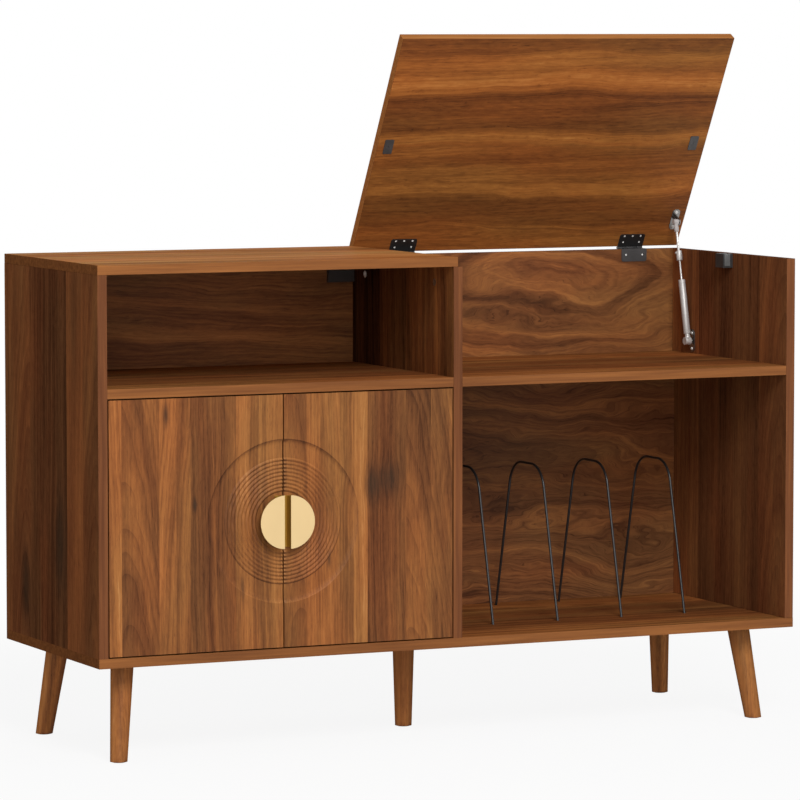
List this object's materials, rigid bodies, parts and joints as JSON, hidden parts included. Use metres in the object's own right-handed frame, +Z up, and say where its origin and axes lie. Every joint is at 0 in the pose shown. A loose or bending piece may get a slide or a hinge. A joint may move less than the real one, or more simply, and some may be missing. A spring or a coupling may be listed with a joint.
{
  "type": "record cabinet",
  "caption": "Walnut-look record cabinet with a strut-held lift-up lid, round relief double doors with a split brass disc handle, wire record dividers and splayed legs.",
  "frame": {"origin": "middle of the outer box on the floor, lid open and doors shut", "axes": "+X to the right seen from the front, +Y to the back, +Z up"},
  "size_m": [1.2, 0.4298, 1.1039],
  "materials": {
    "walnut_boards": "walnut-grain laminate, satin",
    "walnut_doors": "walnut veneer strips, satin lacquer",
    "walnut_lid": "walnut-grain laminate, satin",
    "walnut_backs": "printed walnut hardboard, matt",
    "turned_legs": "stained solid wood, satin",
    "black_steel": "black powder coat",
    "screw_steel": "zinc plated",
    "hinge_steel": "nickel plated, stamped",
    "handle_brass": "satin brass",
    "wire_black": "black powder coat, satin",
    "catch_plastic": "moulded, matt",
    "brace_plastic": "moulded, slight sheen",
    "fitting_plastic": "moulded, satin",
    "strut_silver": "drawn tube, satin silver",
    "bracket_nickel": "stamped, bright nickel plated",
    "strike_steel": "stamped, dark oxide",
    "strut_rod_steel": "ground and polished",
    "magnet_steel": "plain steel",
    "cam_zinc": "die-cast zinc",
    "glide_nylon": "moulded nylon"
  },
  "bodies": {
    "carcass": {"back_corner_brace": "brace_plastic", "back_left_leg": "turned_legs", "back_right_leg": "turned_legs", "bottom_board": "walnut_boards", "cam_locks": "cam_zinc", "centre_divider": "walnut_boards", "centre_leg": "turned_legs", "door_catch": "catch_plastic", "front_left_leg": "turned_legs", "front_right_leg": "turned_legs", "hinge_plates": "hinge_steel", "left_back_panel": "walnut_backs", "left_hinge_arms": "hinge_steel", "left_lid_catch": "catch_plastic", "left_lid_hinge_pin": "black_steel", "left_lid_hinge_rail_leaf": "black_steel", "left_shelf": "walnut_boards", "left_side_panel": "walnut_boards", "leg_glides": "glide_nylon", "leg_hanger_bolts": "screw_steel", "leg_plates": "black_steel", "lid_catch_magnets": "magnet_steel", "lid_rail_panel": "walnut_boards", "record_bay_back_panel": "walnut_backs", "right_hinge_arms": "hinge_steel", "right_lid_catch": "catch_plastic", "right_lid_hinge_pin": "black_steel", "right_lid_hinge_rail_leaf": "black_steel", "right_shelf": "walnut_boards", "right_side_panel": "walnut_boards", "strut_side_bracket": "bracket_nickel", "top_board": "walnut_boards", "wire_divider_1": "wire_black", "wire_divider_2": "wire_black", "wire_divider_3": "wire_black", "wire_divider_4": "wire_black"},
    "lid": {"lid_panel": "walnut_lid", "left_lid_hinge_lid_leaf": "black_steel", "right_lid_hinge_lid_leaf": "black_steel", "left_strike_plate": "strike_steel", "right_strike_plate": "strike_steel", "strut_lid_bracket": "bracket_nickel"},
    "strut_tube": {"strut_tube": "strut_silver"},
    "strut_rod": {"strut_rod": "strut_rod_steel", "strut_end_fitting": "fitting_plastic"},
    "strut_collar": {"strut_collar": "bracket_nickel"},
    "left_door_set": {"left_door": "walnut_doors", "left_handle": "handle_brass", "left_hinge_cups": "hinge_steel", "left_door_strike": "hinge_steel"},
    "right_door_set": {"right_door": "walnut_doors", "right_handle": "handle_brass", "right_hinge_cups": "hinge_steel", "right_door_strike": "hinge_steel"}
  },
  "joints": [
    {"name": "lid_hinge", "type": "hinge", "parent": "carcass", "child": "lid", "pos_m": [0.3005, 0.20316, 0.747], "axis": [1, 0, 0], "range_deg": [0, 60.5]},
    {"name": "strut_foot_pivot", "type": "hinge", "parent": "carcass", "child": "strut_tube", "pos_m": [0.576, 0.11606, 0.594], "axis": [1, 0, 0], "range_deg": [0, 1.06]},
    {"name": "strut_rod_slide", "type": "slide", "parent": "strut_tube", "child": "strut_rod", "axis": [0, -0.2235, -0.9747], "range_m": [0, 0.06066]},
    {"name": "strut_collar_slide", "type": "slide", "parent": "strut_rod", "child": "strut_collar", "axis": [0, 0.2235, 0.9747], "range_m": [0, 0.03036]},
    {"name": "left_door_hinge", "type": "hinge", "parent": "carcass", "child": "left_door_set", "pos_m": [-0.579, -0.19544, 0.3615], "axis": [0, 0, -1], "range_deg": [0, 95]},
    {"name": "right_door_hinge", "type": "hinge", "parent": "carcass", "child": "right_door_set", "pos_m": [-0.0135, -0.19544, 0.3615], "axis": [0, 0, 1], "range_deg": [0, 95]}
  ],
  "couplings": [
    {"joint": "strut_foot_pivot", "follows": "lid_hinge", "ratio": 0.017283},
    {"joint": "strut_rod_slide", "follows": "lid_hinge", "m_per_rad": 0.057396},
    {"joint": "strut_collar_slide", "follows": "lid_hinge", "m_per_rad": 0.028701}
  ]
}
